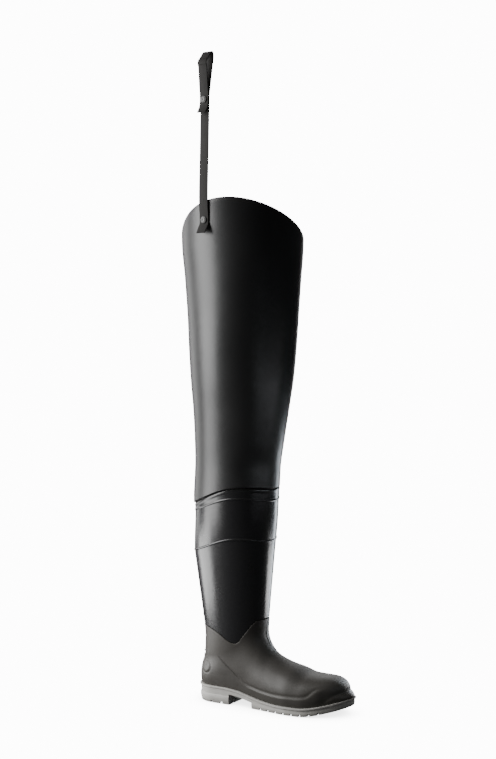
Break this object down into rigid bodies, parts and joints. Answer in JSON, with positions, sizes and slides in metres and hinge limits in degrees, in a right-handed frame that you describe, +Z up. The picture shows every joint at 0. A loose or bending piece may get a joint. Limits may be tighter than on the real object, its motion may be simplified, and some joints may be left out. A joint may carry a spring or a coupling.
{
  "type": "hip wader",
  "caption": "Right-foot hip wader: moulded PVC knee boot with a welded thigh shaft, a slanted open collar and a snapped belt strap.",
  "frame": {"origin": "centre of the wader's bounding box in plan, on the plane the heel and forefoot stand on", "axes": "+X to the toe, +Y to the inner side of the leg, +Z up along the leg"},
  "size_m": [0.3402, 0.2408, 1.2069],
  "materials": {
    "boot_black": "glossy moulded PVC",
    "shell_charcoal": "satin moulded PVC",
    "sheet_black": "satin PVC sheet",
    "sole_grey": "matt nitrile-blended PVC",
    "felt_grey": "pressed felt",
    "strap_black": "matt flat strap",
    "snap_metal": "black lacquered snap"
  },
  "bodies": {
    "root": {"upper": "boot_black", "foot_shell": "shell_charcoal", "thigh_shaft": "sheet_black", "outsole": "sole_grey", "insole": "felt_grey", "strap": "strap_black", "wall_stud": "snap_metal", "loop_snap": "snap_metal"}
  },
  "joints": []
}
